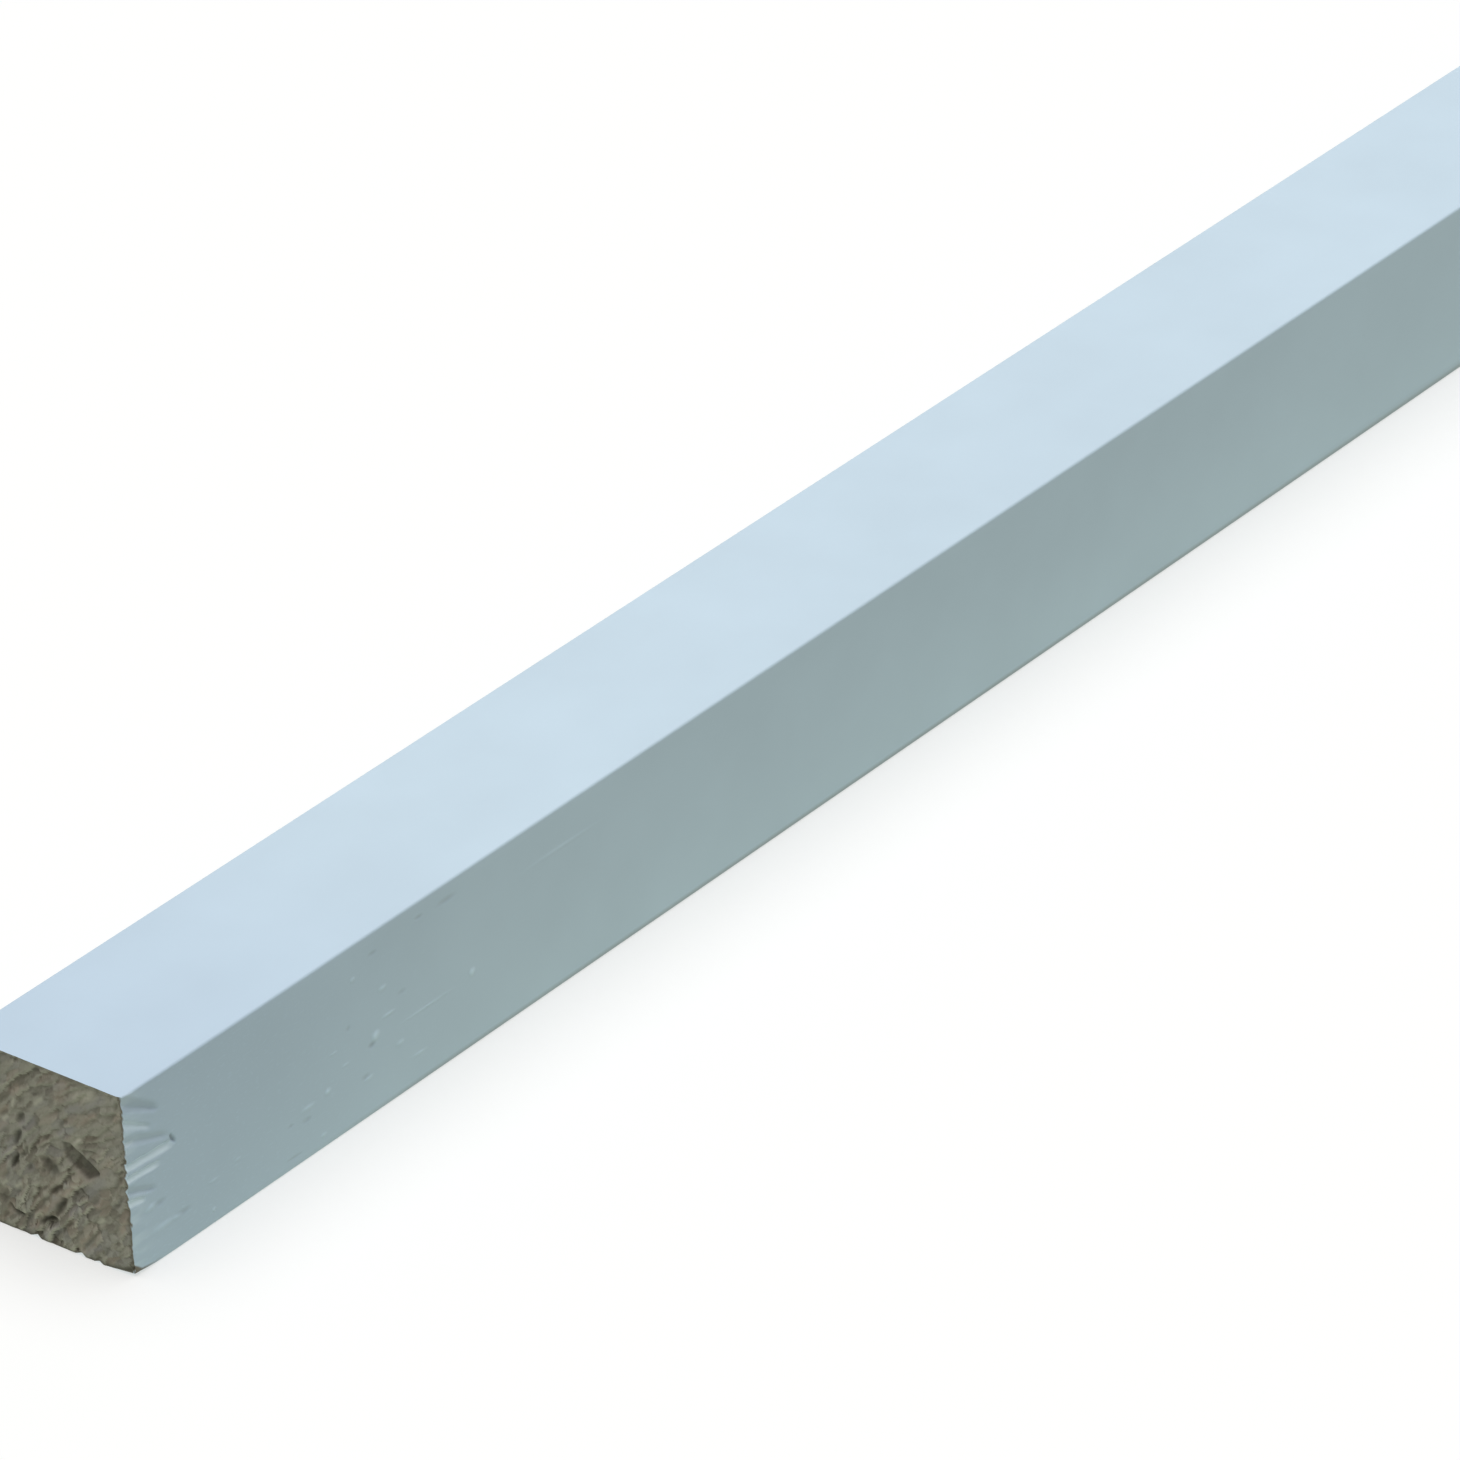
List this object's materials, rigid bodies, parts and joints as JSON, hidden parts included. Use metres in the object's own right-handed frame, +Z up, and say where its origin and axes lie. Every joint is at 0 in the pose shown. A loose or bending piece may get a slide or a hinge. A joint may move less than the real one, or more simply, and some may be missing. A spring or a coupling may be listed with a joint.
{
  "type": "square corner moulding",
  "caption": "Painted softwood corner moulding of plain square section, with eased long edges and raw sawn ends, one of them torn by the saw.",
  "frame": {"origin": "centre of the bottom face, halfway along the stick", "axes": "+X along the length, away from the torn sawn end; +Y towards the back face; +Z up"},
  "size_m": [0.9, 0.021, 0.021],
  "materials": {
    "painted_softwood": "satin paint on the long faces, raw sawn grain on the ends"
  },
  "bodies": {
    "root": {"corner_moulding": "painted_softwood"}
  },
  "joints": []
}
